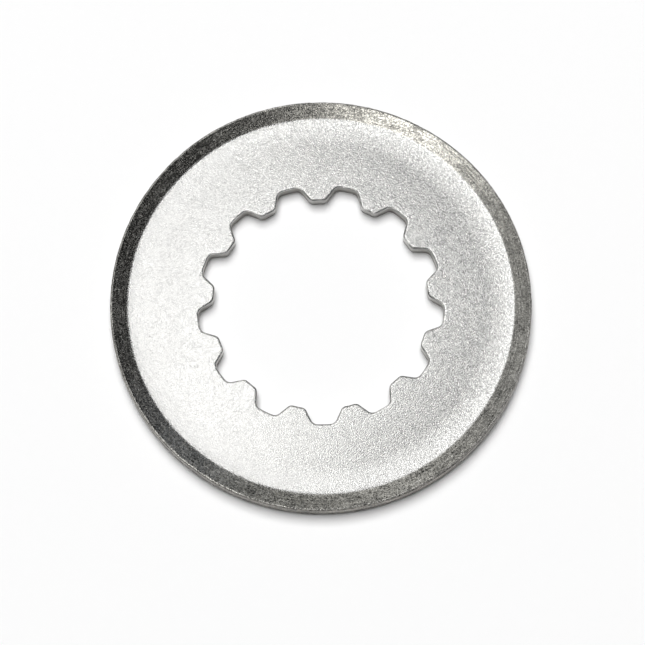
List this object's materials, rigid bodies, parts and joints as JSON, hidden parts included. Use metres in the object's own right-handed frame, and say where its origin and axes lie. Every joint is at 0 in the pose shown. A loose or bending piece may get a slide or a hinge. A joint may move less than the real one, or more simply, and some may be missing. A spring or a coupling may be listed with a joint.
{
  "type": "tab washer",
  "caption": "Round pressed steel tab washer with a toothed spline hole and a narrow turned-up rim, which is bent against a shaft nut to lock it.",
  "frame": {"origin": "on the washer's axis, at the level of its flat underside", "axes": "+Z along the hole's axis, up towards the nut and the turned-up rim; +X through the middle of one gap of the spline"},
  "size_m": [0.044, 0.044, 0.002],
  "materials": {
    "plated_steel": "satin, tumbled and zinc plated"
  },
  "bodies": {
    "root": {"tab_washer": "plated_steel"}
  },
  "joints": []
}
